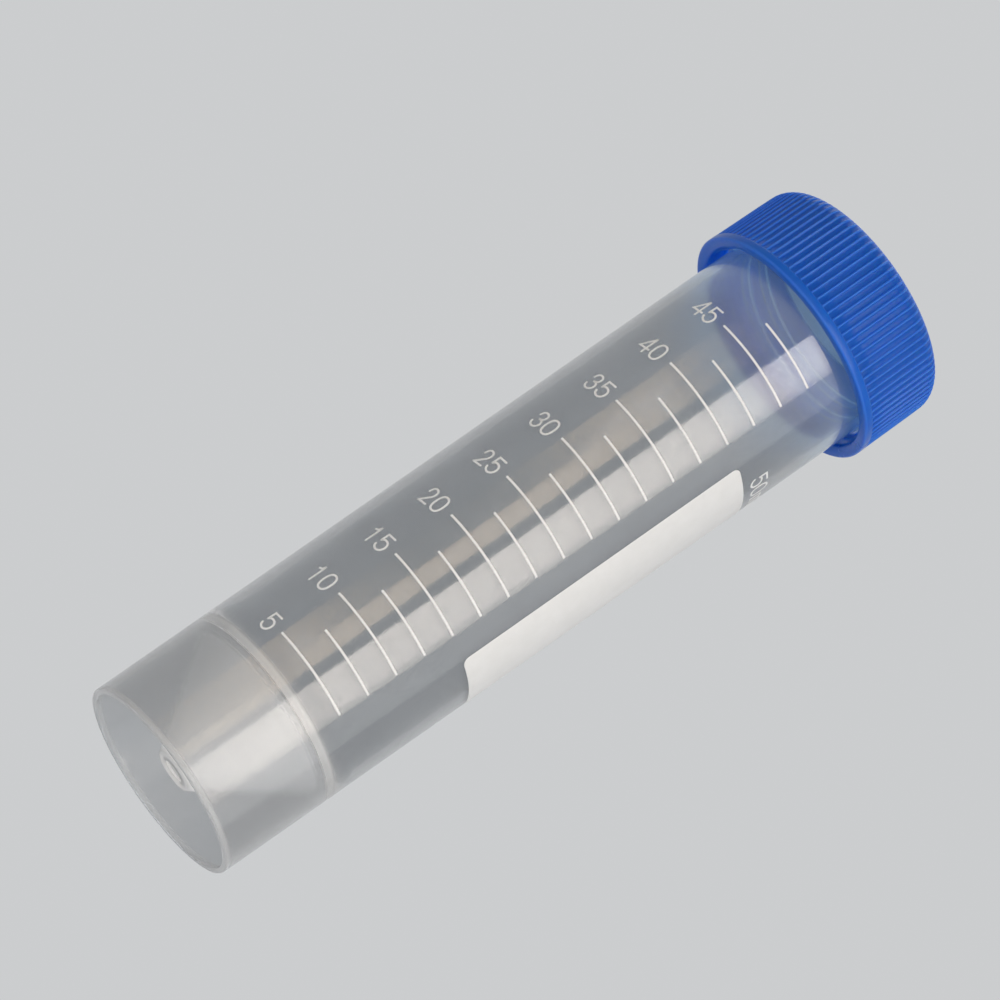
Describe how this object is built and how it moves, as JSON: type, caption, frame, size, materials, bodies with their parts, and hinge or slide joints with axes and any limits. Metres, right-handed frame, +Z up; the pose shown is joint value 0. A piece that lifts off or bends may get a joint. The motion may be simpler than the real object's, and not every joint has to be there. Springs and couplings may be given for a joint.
{
  "type": "50 ml conical tube",
  "caption": "Self-standing conical centrifuge tube of translucent plastic: skirted cone bottom, printed scale and writing panel, ribbed blue screw cap with a sealing disc.",
  "frame": {"origin": "middle of the skirt's rim, on the surface the tube stands on", "axes": "+Z up along the tube's axis to the cap; -Y faces the printed scale"},
  "size_m": [0.0348, 0.0348, 0.1178],
  "materials": {
    "clear_polypropylene": "satin",
    "blue_cap": "satin",
    "white_seal": "matte",
    "white_print": "matte"
  },
  "bodies": {
    "tube": {"tube": "clear_polypropylene"},
    "seal": {"seal_disc": "white_seal"},
    "cap": {"cap": "blue_cap"}
  },
  "joints": [
    {"name": "cap_lift", "type": "slide", "parent": "tube", "child": "seal", "axis": [0, 0, 1], "range_m": [0, 0.012]},
    {"name": "cap_turn", "type": "hinge", "parent": "seal", "child": "cap", "pos_m": [0, 0, 0.11], "axis": [0, 0, 1], "range_deg": [0, 720]}
  ],
  "couplings": [
    {"joint": "cap_lift", "follows": "cap_turn", "m_per_rad": 0.00095493}
  ]
}
